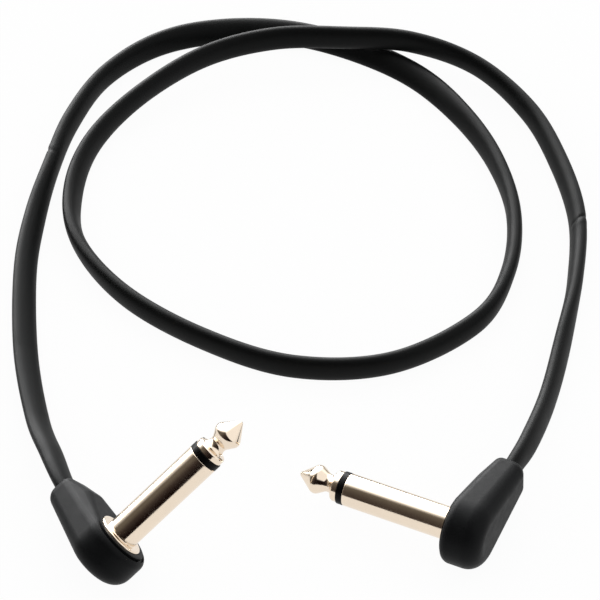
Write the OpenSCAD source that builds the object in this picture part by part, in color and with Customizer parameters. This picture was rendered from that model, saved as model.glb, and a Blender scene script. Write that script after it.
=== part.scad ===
// Short flat instrument cable: two flat right-angle 6.35 mm mono plugs, moulded
// on one oval cord that lies in a loop on a table at z = 0 and crosses itself once.
// A plug is drawn with its barrel along +Z, the front face of its housing at z = 0
// and its cord leaving along +Y. It is then rolled over and turned into its place.

/* [Barrel] */
// Diameter of the barrel and of its insulating ring
barrel_d = 6.35; // [6.2:0.05:6.5]
// Distance from the housing's front face to the point of the tip
shaft_l = 31.3; // [30:0.1:33]
// Diameter of the bore through the barrel
barrel_bore_d = 4.2; // [3.8:0.1:4.6]
// Diameter of the flange that seats in the housing
flange_d = 9.3; // [8.8:0.1:10]
// Thickness of the flange
flange_t = 1.2; // [1:0.1:1.5]
// How far the flange stands out of the front face
flange_proud = 0.3; // [0.1:0.1:0.5]
// Diameter of the shank behind the flange
shank_d = 5.8; // [5.4:0.1:6.2]

/* [Tip] */
// Length of the tip, from the insulating ring to the point
tip_l = 8.9; // [8.4:0.1:9.6]
// Diameter of the collar that bears on the ring
collar_d = 6; // [5.6:0.1:6.2]
// Length of the collar
collar_l = 1.2; // [0.9:0.1:1.4]
// Diameter of the neck that the jack's spring drops into
neck_d = 3.4; // [3:0.1:3.8]
// Distance from the ring to the middle of the neck
neck_l = 2.5; // [2.4:0.1:2.8]
// Radius of the groove round the neck
groove_r = 1.2; // [1:0.1:1.3]
// Slope of the head's rear cone, in degrees from the axis
flare = 32; // [28:1:36]
// Largest diameter of the head
head_d = 5.6; // [5.4:0.05:6]
// Radius of the head's rounded shoulder
shoulder_r = 0.7; // [0.4:0.05:0.9]
// Radius of the rounded point
point_r = 0.6; // [0.4:0.05:0.8]
// Diameter of the rod that carries the tip through the barrel
rod_d = 1.9; // [1.6:0.1:2.2]
// Diameter of the rod's riveted end
rivet_d = 2.9; // [2.6:0.1:3.2]
// Thickness of the riveted end
rivet_t = 0.6; // [0.5:0.1:0.8]

/* [Insulation and contacts] */
// Thickness of the insulating ring behind the tip
ring_t = 1.1; // [0.9:0.1:1.4]
// Length of the ring's spigot in the barrel
spigot_l = 1.5; // [1:0.1:2.5]
// Diameter of the insulating washer between the lugs
washer_d = 5.6; // [5.2:0.1:6]
// Thickness of the washer
washer_t = 0.8; // [0.7:0.05:0.9]
// Thickness of the sheet that both lugs are stamped from
lug_t = 0.4; // [0.3:0.05:0.45]
// Diameter of the ground lug's eye
ground_lug_d = 6.8; // [6.4:0.1:7.4]
// Diameter of the tip lug's eye
tip_lug_d = 4.4; // [4:0.1:4.8]
// Width of the tip lug's tab
tip_tab_w = 2.2; // [2:0.1:2.4]
// Distance from the barrel's axis to the tip lug's solder joint
tip_tab_l = 6; // [5.6:0.1:6.2]
// Width of the ground lug's tab
ground_tab_w = 1.9; // [1.8:0.1:2]
// Distance from the barrel's axis to the ground lug's solder joint, along the cord
ground_tab_l = 8.6; // [8.5:0.1:8.8]
// Distance of the ground lug's solder joint from the plug's middle plane
ground_tab_x = 1.9; // [1.8:0.05:2]
// Radius of the tip lug's solder joint
tip_solder_r = 1.05; // [0.8:0.05:1.05]
// Radius of the ground lug's solder joint
ground_solder_r = 0.9; // [0.7:0.05:0.95]

/* [Housing] */
// Diameter of the round end, which is centred on the barrel
round_d = 14; // [13.6:0.1:16]
// Thickness of the housing at the barrel
housing_t = 8; // [7.8:0.1:9]
// Distance from the barrel's axis to the cord's mouth
housing_l = 17.1; // [16.4:0.1:20]
// Width at the cord's mouth
mouth_w = 8.4; // [8:0.1:9.6]
// Thickness at the cord's mouth
mouth_t = 6.2; // [5.8:0.1:7.4]
// Distance from the barrel's axis to the shoulder, where the front starts to slope
shoulder_l = 10.4; // [9.8:0.1:12]
// Width of the housing at the shoulder
shoulder_w = 9.4; // [8.8:0.1:11.4]
// Radius that rounds the shoulder
slope_r = 3.6; // [2:0.1:3.8]
// Radius of the front edge
front_r = 1.8; // [1.4:0.1:2.2]
// Radius of the back edge
back_r = 3.4; // [2.6:0.1:3.8]
// Radius of the mouth's corners
corner_r = 2.6; // [1.8:0.1:3]
// Radius of the front edge at the mouth
mouth_r = 1.5; // [0.8:0.1:1.8]
// Diameter of the barrel's seat, which a groove sets off on the round end
seat_d = 11.5; // [11:0.1:11.8]
// Width of that groove
groove_w = 0.6; // [0.4:0.1:0.7]
// Depth of that groove at the round end
groove_h = 1; // [0.6:0.1:1.1]
// Distance from the axis towards the cord at which the groove has run out
groove_end = 3; // [2:0.5:4]

/* [Inner block] */
// Diameter of the inner block's round end
block_d = 10.8; // [9.6:0.1:11]
// Distance from the barrel's axis to the inner block's cord end
block_l = 12.8; // [12.4:0.1:13.4]
// Width of the inner block's cord end
block_w = 6.6; // [6.2:0.1:7]
// Radius of the inner block's edges
block_r = 0.8; // [0.4:0.1:1]
// Thickness of the housing's wall behind the inner block
back_wall = 1.7; // [1.4:0.1:1.8]
// Thickness of the housing's wall between the flange and the inner block
front_wall = 1; // [0.8:0.1:1.1]

/* [Cord] */
// Width of the oval cord
cord_w = 5.5; // [5:0.1:5.8]
// Thickness of the oval cord
cord_t = 3.1; // [2.8:0.1:3.3]
// Distance from the housing's back to the cord's middle
cord_rise = 3.4; // [3.3:0.05:3.45]
// Diameter of the stranded core
core_d = 0.9; // [0.8:0.05:1]
// Diameter of the insulation round the core
dielectric_d = 1.9; // [1.6:0.1:2]
// How far that insulation reaches past the jacket's end
dielectric_l = 2.2; // [1.8:0.1:2.4]
// Diameter of the twisted shield
pigtail_d = 0.8; // [0.6:0.05:0.9]
// Radius of the two bends of the twisted shield
pigtail_r = 2; // [1.6:0.1:2.2]

/* [Layout] */
// Place of the left barrel's foot across the table
left_x = -30.6; // [-40:0.1:-20]
// Place of the left barrel's foot along the table
left_y = -5.1; // [-15:0.1:5]
// Roll of the left plug about its cord's direction
left_roll = 53; // [30:1:80]
// Turn of the left plug on the table
left_turn = 26.5; // [20:0.5:32]
// Place of the right barrel's foot across the table
right_x = 30.4; // [20:0.1:40]
// Place of the right barrel's foot along the table
right_y = -0.8; // [-10:0.1:10]
// Roll of the right plug about its cord's direction
right_roll = -93; // [-95:1:-85]
// Turn of the right plug on the table
right_turn = -26.5; // [-33:0.5:-21]

/* [Fits] */
// Clearance round a piece that another one encloses
fit = 0.05; // [0.02:0.01:0.1]

/* [Hidden] */
$fn = 48;
hull_fn = 32;        // facets round the hulled forms
edge_steps = 5;      // facets in a quarter round
past = 1;            // how far a cut runs past the face that it opens

// Places of the two barrels' feet on the table
left_at = [left_x, left_y];
right_at = [right_x, right_y];

// Heights along the barrel's axis. The lugs and the washer are stacked so that
// the cord's core runs straight onto the back of the tip lug.
cord_z = cord_rise - housing_t;
tip_lug_z = cord_z + core_d / 2;
washer_z = tip_lug_z + lug_t;
ground_lug_z = washer_z + washer_t;
shank_z = ground_lug_z + lug_t;
flange_z = flange_proud - flange_t;
tip_z = shaft_l - tip_l;
ring_z = tip_z - ring_t;
rivet_z = tip_lug_z - rivet_t;
block_back_z = back_wall - housing_t;
block_front_z = flange_z - front_wall;
mouth_front_z = mouth_t - housing_t;
shoulder_edge = min(slope_r, housing_t / 2);
block_corner_r = block_r + 0.6;
groove_lean = atan(groove_h / (seat_d / 2 + groove_end));

// Insulating tube: it fills the barrel's bore and carries the tip's rod
tube_od = barrel_bore_d - 2 * fit;
rod_hole_d = rod_d + 2 * fit;

// Points of an arc about c, from angle a0 to angle a1
function arc(c, r, a0, a1, steps = edge_steps) =
    [for (i = [0 : steps]) let (a = a0 + (a1 - a0) * i / steps) c + r * [cos(a), sin(a)]];

// Disc from z0 to z1 with a rounded front and back edge
module rounded_disc(r, z0, z1, edge_front, edge_back) {
    rotate_extrude($fn = hull_fn) polygon(concat(
        [[0, z0]],
        arc([r - edge_back, z0 + edge_back], edge_back, -90, 0),
        arc([r - edge_front, z1 - edge_front], edge_front, 0, 90),
        [[0, z1]]));
}

// Cylinder between two distances along the cord's direction
module along_cord(d, from, to, z, x = 0) {
    translate([x, to, z]) rotate([90, 0, 0]) cylinder(d = d, h = to - from);
}

// Half ball on the back of a lug whose back face is at z
module solder_form(r, at, z, grow = 0) {
    translate([at[0], at[1], z]) difference() {
        sphere(r + grow);
        translate([0, 0, r + grow]) cube(2 * (r + grow), center = true);
    }
}

// Eye with a round-ended tab that reaches to the point "to"
module lug_outline(eye_d, tab_w, to, grow = 0) {
    circle(d = eye_d + 2 * grow);
    rotate(atan2(to[1], to[0])) translate([0, -tab_w / 2 - grow]) square([norm(to), tab_w + 2 * grow]);
    translate(to) circle(d = tab_w + 2 * grow);
}

tip_joint = [0, tip_tab_l];
ground_joint = [ground_tab_x, ground_tab_l];

module tip_lug_form(grow = 0) {
    translate([0, 0, tip_lug_z - grow]) linear_extrude(lug_t + 2 * grow)
        lug_outline(tip_lug_d, tip_tab_w, tip_joint, grow);
}

module ground_lug_form(grow = 0) {
    translate([0, 0, ground_lug_z - grow]) linear_extrude(lug_t + 2 * grow)
        lug_outline(ground_lug_d, ground_tab_w, ground_joint, grow);
}

// Skin of a tube from its rings, each a list of as many points, with flat ends
module skinned(skin) {
    sides = len(skin[0]);
    final = len(skin) - 1;
    wall = [for (i = [0 : final - 1], k = [0 : sides - 1])
        let (a = i * sides + k, b = i * sides + (k + 1) % sides)
        each [[a, a + sides, b], [b, a + sides, b + sides]]];
    front = [for (k = [0 : sides - 1]) k];
    back = [for (k = [sides - 1 : -1 : 0]) final * sides + k];
    polyhedron([for (ring = skin) each ring], concat([front], wall, [back]));
}

// Twisted shield: straight out of the jacket, then an S-bend up to the ground lug
pigtail_z = ground_lug_z - pigtail_d / 2;
pigtail_bend = acos(1 - (pigtail_z - cord_z) / (2 * pigtail_r));
pigtail_lead = 0.4;  // straight length between the jacket's end and the first bend
pigtail_bend_l = block_l - pigtail_lead;
pigtail_run = 2 * pigtail_r * sin(pigtail_bend);
pigtail_sides = 8;
pigtail_path = concat(
    arc([pigtail_bend_l, cord_z + pigtail_r], pigtail_r, -90, -90 - pigtail_bend),
    arc([pigtail_bend_l - pigtail_run, pigtail_z - pigtail_r], pigtail_r,
        90 - pigtail_bend + pigtail_bend / edge_steps, 90, edge_steps - 1),
    [[ground_tab_l - ground_solder_r / 2, pigtail_z]]);

module pigtail_form(grow = 0, reach = 0) {
    path = concat([[block_l + reach, cord_z]], pigtail_path);
    final = len(path) - 1;
    skinned([for (i = [0 : final]) let (
            ahead = path[min(i + 1, final)] - path[max(i - 1, 0)],
            across = [ahead[1], -ahead[0]] / norm(ahead))
        [for (k = [0 : pigtail_sides - 1]) let (a = 360 * k / pigtail_sides)
            [ground_tab_x, path[i][0], path[i][1]]
            + (pigtail_d / 2 + grow) * [cos(a), across[0] * sin(a), across[1] * sin(a)]]]);
}

// Oval section of the cord
cord_sides = 12;
function oval(grow = 0) = [for (i = [0 : cord_sides - 1]) let (a = 360 * i / cord_sides)
    [(cord_w / 2 + grow) * cos(a), (cord_t / 2 + grow) * sin(a)]];

module jacket_form(grow = 0, reach = 0) {
    translate([0, housing_l + reach, cord_z]) rotate([90, 0, 0])
        linear_extrude(housing_l + reach - block_l) polygon(oval(grow));
}

// Flat moulded housing: a round end with a soft back edge, a flat front as far as
// the shoulder, and a slope from there down to the narrower mouth
module housing_form() {
    hull() {
        rounded_disc(round_d / 2, -housing_t, 0, front_r, back_r);
        for (side = [-1, 1]) {
            translate([side * (shoulder_w / 2 - shoulder_edge), shoulder_l, -shoulder_edge])
                sphere(shoulder_edge, $fn = hull_fn);
            translate([side * (mouth_w / 2 - corner_r), housing_l - corner_r, 0])
                rounded_disc(corner_r, -housing_t, mouth_front_z, mouth_r, corner_r);
        }
    }
}

module block_form(grow = 0) {
    z0 = block_back_z - grow;
    z1 = block_front_z + grow;
    edge = block_r + grow;
    hull() {
        rounded_disc(block_d / 2 + grow, z0, z1, edge, edge);
        for (side = [-1, 1])
            translate([side * (block_w / 2 - block_corner_r), block_l - block_corner_r, 0])
                rounded_disc(block_corner_r + grow, z0, z1, edge, edge);
    }
}

// Ring that cuts the groove round the seat. It leans, so that the groove is deepest
// at the round end and runs out towards the cord.
module groove_form() {
    translate([0, groove_end, 0]) rotate([groove_lean, 0, 0]) translate([0, -groove_end, 0])
        difference() {
            cylinder(d = seat_d + 2 * groove_w, h = groove_h + past);
            translate([0, 0, -past]) cylinder(d = seat_d, h = groove_h + 3 * past);
        }
}

module housing() {
    color("#191a1c") difference() {
        housing_form();
        groove_form();
        translate([0, 0, flange_z]) cylinder(d = flange_d + 2 * fit, h = flange_t + past);
        translate([0, 0, flange_z - front_wall - fit])
            cylinder(d = shank_d + 2 * fit, h = front_wall + fit + past);
        block_form(fit);
        jacket_form(fit, past);
    }
}

module inner_block() {
    color("#2d2f31") difference() {
        block_form();
        translate([0, 0, shank_z]) cylinder(d = shank_d + 2 * fit, h = -shank_z + past);
        ground_lug_form(fit);
        translate([0, 0, washer_z - fit]) cylinder(d = washer_d + 2 * fit, h = washer_t + 2 * fit);
        tip_lug_form(fit);
        translate([0, 0, rivet_z - fit]) cylinder(d = rivet_d + 2 * fit, h = rivet_t + 2 * fit);
        solder_form(tip_solder_r, tip_joint, tip_lug_z, fit);
        solder_form(ground_solder_r, ground_joint, ground_lug_z, fit);
        along_cord(core_d + 2 * fit, tip_tab_l - tip_solder_r / 2, block_l + past, cord_z);
        along_cord(dielectric_d + 2 * fit, block_l - dielectric_l - fit, block_l + past, cord_z);
        pigtail_form(fit, past);
    }
}

module barrel() {
    flange_edge = flange_t / 4;
    color("#d9cfc2") rotate_extrude() polygon(concat(
        [[barrel_bore_d / 2, shank_z], [shank_d / 2, shank_z], [shank_d / 2, flange_z]],
        [[flange_d / 2, flange_z]],
        arc([flange_d / 2 - flange_edge, flange_proud - flange_edge], flange_edge, 0, 90),
        [[barrel_d / 2, flange_proud], [barrel_d / 2, ring_z], [barrel_bore_d / 2, ring_z]]));
}

module tip_ring() {
    color("#0d0c0c") difference() {
        union() {
            translate([0, 0, ring_z]) cylinder(d = barrel_d, h = ring_t);
            translate([0, 0, ring_z - spigot_l]) cylinder(d = tube_od, h = spigot_l + ring_t / 2);
        }
        translate([0, 0, ring_z - spigot_l - past])
            cylinder(d = rod_hole_d, h = spigot_l + ring_t + 2 * past);
    }
}

module core_tube() {
    tube_l = ring_z - spigot_l - ground_lug_z;
    color("#e6e2d8") translate([0, 0, ground_lug_z]) difference() {
        cylinder(d = tube_od, h = tube_l);
        translate([0, 0, -past]) cylinder(d = rod_hole_d, h = tube_l + 2 * past);
    }
}

// The tip is one turned piece: point, cone, shoulder, rear cone, neck groove and
// collar, then the rod, whose end is riveted over behind the tip lug
module tip() {
    groove_c = [neck_d / 2 + groove_r, tip_z + neck_l];
    collar_a = acos((groove_c[0] - collar_d / 2 + collar_l / 6) / groove_r);
    flare_at = groove_c + groove_r * [-cos(flare), sin(flare)];
    shoulder_x = head_d / 2 - shoulder_r;
    shoulder_z = flare_at[1]
        + (cos(flare) * (shoulder_x - flare_at[0]) + shoulder_r) / sin(flare);
    point_z = shaft_l - point_r;
    cone_l = norm([shoulder_x, point_z - shoulder_z]);
    cone_a = atan(shoulder_x / (point_z - shoulder_z))
        + asin((shoulder_r - point_r) / cone_l);
    color("#e3d7c8") rotate_extrude() polygon(concat(
        [[0, rivet_z]],
        arc([rivet_d / 2 - rivet_t / 2, rivet_z + rivet_t / 2], rivet_t / 2, -90, 0),
        [[rivet_d / 2, tip_lug_z], [rod_d / 2, tip_lug_z], [rod_d / 2, tip_z]],
        [[collar_d / 2, tip_z], [collar_d / 2, tip_z + collar_l]],
        arc(groove_c, groove_r, 180 + collar_a, 180 - flare, 3 * edge_steps),
        arc([shoulder_x, shoulder_z], shoulder_r, -flare, cone_a),
        arc([0, point_z], point_r, cone_a, 90)));
}

module rear_washer() {
    color("#b98a4c") translate([0, 0, washer_z]) difference() {
        cylinder(d = washer_d, h = washer_t);
        translate([0, 0, -past]) cylinder(d = rod_hole_d, h = washer_t + 2 * past);
    }
}

module tip_lug() {
    color("#c9b26a") difference() {
        tip_lug_form();
        translate([0, 0, tip_lug_z - past]) cylinder(d = rod_hole_d, h = lug_t + 2 * past);
    }
}

module ground_lug() {
    color("#c9b26a") difference() {
        ground_lug_form();
        translate([0, 0, ground_lug_z - past])
            cylinder(d = barrel_bore_d, h = lug_t + 2 * past);
    }
}

module tip_solder() {
    color("#b9bcc0") difference() {
        solder_form(tip_solder_r, tip_joint, tip_lug_z);
        along_cord(core_d + 2 * fit, tip_tab_l - tip_solder_r / 2 - fit,
            tip_tab_l + tip_solder_r + past, cord_z);
    }
}

module ground_solder() {
    color("#b9bcc0") difference() {
        solder_form(ground_solder_r, ground_joint, ground_lug_z);
        along_cord(pigtail_d + 2 * fit, ground_tab_l - ground_solder_r / 2 - fit,
            ground_tab_l + ground_solder_r + past, pigtail_z, ground_tab_x);
    }
}

module conductor() {
    color("#b87333") along_cord(core_d, tip_tab_l - tip_solder_r / 2, block_l, cord_z);
}

module dielectric() {
    color("#efece4") difference() {
        along_cord(dielectric_d, block_l - dielectric_l, block_l, cord_z);
        along_cord(core_d + 2 * fit, block_l - dielectric_l - past, block_l + past, cord_z);
    }
}

module shield_pigtail() {
    color("#b5724a") pigtail_form();
}

module jacket_end() {
    color("#1c1e1f") jacket_form();
}

// Height at which a plug, rolled by "roll", rests on the table on its round end
function rest_h(roll) = max([for (edge = [[front_r, front_r], [back_r, housing_t - back_r]])
    (round_d / 2 - edge[0]) * abs(sin(roll)) + edge[1] * cos(roll) + edge[0]]);

module place(at, roll, turn) {
    translate([at[0], at[1], rest_h(roll)]) rotate([0, roll, turn]) children();
}

module left() {
    place(left_at, left_roll, left_turn) children();
}

module right() {
    place(right_at, right_roll, right_turn) children();
}

// Direction in which the cord leaves a plug, and the middle of the plug's mouth
function away(turn) = [-sin(turn), cos(turn), 0];
function mouth(at, roll, turn) = [at[0], at[1], rest_h(roll)] + housing_l * away(turn)
    + cord_z * [sin(roll) * cos(turn), sin(roll) * sin(turn), cos(roll)];

// Height of the middle of a cord that lies on the table, leaning by "lean": 0 lays
// its wide side flat, and 90 stands it on edge
function lying_h(lean) = norm([cord_w / 2 * sin(lean), cord_t / 2 * cos(lean)]);

// A plug's end of the route, as a point of it: x, y, lift above the lying height, lean
function mouth_point(at, roll, turn, lean) = let (m = mouth(at, roll, turn))
    [m[0], m[1], m[2] - lying_h(lean), lean];

// Route of the cord from the left plug to the right one: x, y, lift, lean. It runs
// up the left side, under the crossing, round the inner loop and over the crossing.
route = concat(
    [mouth_point(left_at, left_roll, left_turn, left_roll)],
    [[-45, 18, 2.9, 42], [-48.5, 29, 0.8, 40], [-52, 47.5, 0, 38], [-53.5, 69.5, 0, 46],
     [-52.5, 85, 0, 56], [-50, 100, 0, 78], [-46.5, 114.5, 0, 78], [-40, 128.5, 0, 85],
     [-29, 139, 0, 72], [-15, 144, 0, 42], [0, 143.5, 0, 40], [14.5, 138, 0, 40],
     [27.5, 129, 0, 40], [37, 116, 0, 64], [43.5, 101.5, 0, 78], [46.5, 85.5, 0, 88],
     [44.5, 69, 0, 80], [37.5, 55, 0, 94], [20.5, 44, 0, 90], [1, 43, 0, 92],
     [-17, 50.5, 0, 90], [-33, 62.5, 0, 90], [-43, 77.5, 0, 78], [-45, 92.5, 0, 62],
     [-41.5, 107.5, 0.3, 76], [-32, 120.5, 1.8, 90], [-18.5, 131, 3.5, 88],
     [-3.5, 136, 4.3, 84], [12, 136, 4.6, 86], [26.5, 135, 4.2, 92], [40.5, 130, 1.8, 96],
     [51, 117.5, 0.3, 80], [56.5, 102.5, 0, 72], [59.5, 85, 0, 72], [58, 67, 0, 80],
     [54.5, 50, 0, 106], [50.5, 34, 0.8, 106], [46, 20.5, 3.4, 106]],
    [mouth_point(right_at, right_roll, right_turn, -right_roll)]);
span_steps = 2;      // rings in each span between two points of the route
last = len(route) - 1;

// Extra point past an end, placed so that the route leaves it along the mouth's axis
function lead(end, next, dir) = let (run = 2 * norm([next[0] - end[0], next[1] - end[1]]))
    [next[0] - run * dir[0], next[1] - run * dir[1], next[2], next[3]];
guided = concat([lead(route[0], route[1], away(left_turn))], route,
    [lead(route[last], route[last - 1], away(right_turn))]);

// Smooth curve through the points: the span from p1 to p2, at t from 0 to 1
function through(p0, p1, p2, p3, t) = (2 * p1 + (p2 - p0) * t
    + (2 * p0 - 5 * p1 + 4 * p2 - p3) * t * t + (3 * p1 - p0 - 3 * p2 + p3) * t * t * t) / 2;
run = concat([for (i = [1 : last], k = [0 : span_steps - 1])
    through(guided[i - 1], guided[i], guided[i + 1], guided[i + 2], k / span_steps)],
    [route[last]]);

middle = [for (p = run) [p[0], p[1], max(p[2], 0) + lying_h(p[3])]];
rings = len(run);
function heading(i) = i == 0 ? away(left_turn) : i == rings - 1 ? -away(right_turn)
    : (middle[i + 1] - middle[i - 1]) / norm(middle[i + 1] - middle[i - 1]);
skin = [for (i = [0 : rings - 1]) let (
        t = heading(i),
        side = cross([0, 0, 1], t) / norm(cross([0, 0, 1], t)),
        up = cross(t, side),
        lean = run[i][3],
        wide = cos(lean) * side + sin(lean) * up,
        thin = cos(lean) * up - sin(lean) * side)
    [for (p = oval()) middle[i] + p[0] * wide + p[1] * thin]];

module cord() {
    color("#1c1e1f") skinned(skin);
}

cord();
left() housing();  // left_housing
left() inner_block();  // left_inner_block
left() barrel();  // left_barrel
left() tip_ring();  // left_tip_ring
left() core_tube();  // left_core_tube
left() tip();  // left_tip
left() rear_washer();  // left_rear_washer
left() tip_lug();  // left_tip_lug
left() ground_lug();  // left_ground_lug
left() tip_solder();  // left_tip_solder
left() ground_solder();  // left_ground_solder
left() conductor();  // left_conductor
left() dielectric();  // left_dielectric
left() shield_pigtail();  // left_shield_pigtail
left() jacket_end();  // left_jacket_end
right() housing();  // right_housing
right() inner_block();  // right_inner_block
right() barrel();  // right_barrel
right() tip_ring();  // right_tip_ring
right() core_tube();  // right_core_tube
right() tip();  // right_tip
right() rear_washer();  // right_rear_washer
right() tip_lug();  // right_tip_lug
right() ground_lug();  // right_ground_lug
right() tip_solder();  // right_tip_solder
right() ground_solder();  // right_ground_solder
right() conductor();  // right_conductor
right() dielectric();  // right_dielectric
right() shield_pigtail();  // right_shield_pigtail
right() jacket_end();  // right_jacket_end
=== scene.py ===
import math

import bmesh
import bpy
import numpy as np
from bpy.props import FloatProperty, FloatVectorProperty, IntProperty, PointerProperty
from mathutils import Matrix, Vector


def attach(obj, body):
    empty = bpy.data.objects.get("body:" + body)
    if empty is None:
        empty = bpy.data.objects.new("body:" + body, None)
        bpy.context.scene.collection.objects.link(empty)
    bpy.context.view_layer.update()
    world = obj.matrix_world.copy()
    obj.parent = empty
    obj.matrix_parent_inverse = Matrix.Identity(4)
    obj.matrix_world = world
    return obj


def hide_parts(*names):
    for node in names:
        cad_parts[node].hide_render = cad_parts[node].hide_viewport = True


bl_info = {
    "name": "Flat Instrument Cable",
    "version": (1, 0, 0),
    "blender": (4, 5, 0),
    "location": "View3D > Sidebar > Cable",
    "description": "Dresses the packed cable with its cord, housings, contacts and studio",
    "category": "Object",
}

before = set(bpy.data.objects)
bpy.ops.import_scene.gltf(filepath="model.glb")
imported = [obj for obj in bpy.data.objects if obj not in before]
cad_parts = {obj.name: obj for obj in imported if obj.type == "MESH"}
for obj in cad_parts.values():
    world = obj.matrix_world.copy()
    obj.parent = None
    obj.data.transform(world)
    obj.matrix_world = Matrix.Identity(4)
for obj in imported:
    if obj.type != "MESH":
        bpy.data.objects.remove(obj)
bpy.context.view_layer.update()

MM = 0.001
BODY = "root"
SIDES = ("left", "right")

# Route of the cord from the left plug to the right one, between the two mouths:
# x, y and lift above the lying height in metres, and lean in degrees
ROUTE = [
    (-0.045, 0.018, 0.0029, 42), (-0.0485, 0.029, 0.0008, 40), (-0.052, 0.0475, 0, 38),
    (-0.0535, 0.0695, 0, 46), (-0.0525, 0.085, 0, 56), (-0.050, 0.100, 0, 78),
    (-0.0465, 0.1145, 0, 78), (-0.040, 0.1285, 0, 85), (-0.029, 0.139, 0, 72),
    (-0.015, 0.144, 0, 42), (0, 0.1435, 0, 40), (0.0145, 0.138, 0, 40),
    (0.0275, 0.129, 0, 40), (0.037, 0.116, 0, 64), (0.0435, 0.1015, 0, 78),
    (0.0465, 0.0855, 0, 88), (0.0445, 0.069, 0, 80), (0.0375, 0.055, 0, 94),
    (0.0205, 0.044, 0, 90), (0.001, 0.043, 0, 92), (-0.017, 0.0505, 0, 90),
    (-0.033, 0.0625, 0, 90), (-0.043, 0.0775, 0, 78), (-0.045, 0.0925, 0, 62),
    (-0.0415, 0.1075, 0.0003, 76), (-0.032, 0.1205, 0.0018, 90),
    (-0.0185, 0.131, 0.0035, 88), (-0.0035, 0.136, 0.0043, 84), (0.012, 0.136, 0.0046, 86),
    (0.0265, 0.135, 0.0042, 92), (0.0405, 0.130, 0.0018, 96), (0.051, 0.1175, 0.0003, 80),
    (0.0565, 0.1025, 0, 72), (0.0595, 0.085, 0, 72), (0.058, 0.067, 0, 80),
    (0.0545, 0.050, 0, 106), (0.0505, 0.034, 0.0008, 106), (0.046, 0.0205, 0.0034, 106),
]


def linear(text):
    """Linear red, green, blue and alpha of an sRGB hex colour."""
    parts = [int(text[i:i + 2], 16) / 255 for i in (1, 3, 5)]
    return [p / 12.92 if p <= 0.04045 else ((p + 0.055) / 1.055) ** 2.4 for p in parts] + [1.0]


def length(title, about, size_mm):
    """A size that shows as a length in the sidebar."""
    return FloatProperty(name=title, description=about, default=size_mm * MM, min=0.0,
                         precision=5, unit="LENGTH", subtype="DISTANCE")


def angle(title, about, degrees):
    return FloatProperty(name=title, description=about, default=math.radians(degrees),
                         unit="ROTATION", subtype="ANGLE")


def colour(title, about, text):
    return FloatVectorProperty(name=title, description=about, default=linear(text)[:3],
                               min=0.0, max=1.0, size=3, subtype="COLOR")


class CordLook(bpy.types.PropertyGroup):
    width: length("Width", "Wide side of the oval cord", 5.5)
    thickness: length("Thickness", "Narrow side of the oval cord", 3.1)
    squareness: FloatProperty(name="Squareness", default=2.2, min=2.0, max=4.0,
                              description="2 is an ellipse, and more has flatter sides")
    facets: IntProperty(name="Facets", default=44, min=12, max=96,
                        description="Faces round the cord")
    step: length("Step", "Distance between rings along the cord", 0.5)
    tuck: length("Tuck", "How far the cord reaches into each housing", 1.0)
    jacket: colour("Jacket", "Colour of the PVC jacket", "#0b0c0c")


class PlugLook(bpy.types.PropertyGroup):
    left_x: length("Left across", "Place of the left barrel's foot across the table", -30.6)
    left_y: length("Left along", "Place of the left barrel's foot along the table", -5.1)
    left_roll: angle("Left roll", "Roll of the left plug about its cord's direction", 53)
    left_turn: angle("Left turn", "Turn of the left plug on the table", 26.5)
    right_x: length("Right across", "Place of the right barrel's foot across the table", 30.4)
    right_y: length("Right along", "Place of the right barrel's foot along the table", -0.8)
    right_roll: angle("Right roll", "Roll of the right plug about its cord's direction", -93)
    right_turn: angle("Right turn", "Turn of the right plug on the table", -26.5)
    fit: length("Fit", "Clearance round a piece that another one encloses", 0.05)


class HousingLook(bpy.types.PropertyGroup):
    round_d: length("Round end", "Diameter of the round end", 14)
    deep: length("Thickness", "Thickness at the barrel", 8)
    long: length("Length", "Distance from the barrel's axis to the cord's mouth", 17.1)
    mouth_w: length("Mouth width", "Width at the cord's mouth", 8.4)
    mouth_t: length("Mouth thickness", "Thickness at the cord's mouth", 6.2)
    shoulder_l: length("Shoulder", "Distance from the axis to the front's slope", 10.4)
    shoulder_w: length("Shoulder width", "Width at the shoulder", 9.4)
    slope_r: length("Shoulder edge", "Radius that rounds the shoulder", 3.6)
    front_r: length("Front edge", "Radius of the front edge", 1.8)
    back_r: length("Back edge", "Radius of the back edge", 3.4)
    corner_r: length("Corners", "Radius of the mouth's corners", 2.6)
    mouth_r: length("Mouth edge", "Radius of the front edge at the mouth", 1.5)
    seat_d: length("Seat", "Diameter of the barrel's seat inside the groove", 11.5)
    groove_w: length("Groove width", "Width of the groove round the seat", 0.6)
    groove_h: length("Groove depth", "Depth of that groove at the round end", 1)
    groove_end: length("Groove end", "Distance from the axis at which the groove runs out", 3)
    cord_rise: length("Cord rise", "Distance from the back to the cord's middle", 3.4)
    block_d: length("Block", "Diameter of the inner block's round end", 10.8)
    block_l: length("Block length", "Distance from the axis to the block's cord end", 12.8)
    block_w: length("Block width", "Width of the block's cord end", 6.6)
    block_r: length("Block edge", "Radius of the block's edges", 0.8)
    back_wall: length("Back wall", "Thickness of the housing behind the block", 1.7)
    front_wall: length("Front wall", "Thickness between the flange and the block", 1)
    pvc: colour("PVC", "Colour of the moulded PVC", "#0c0d0e")


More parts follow.
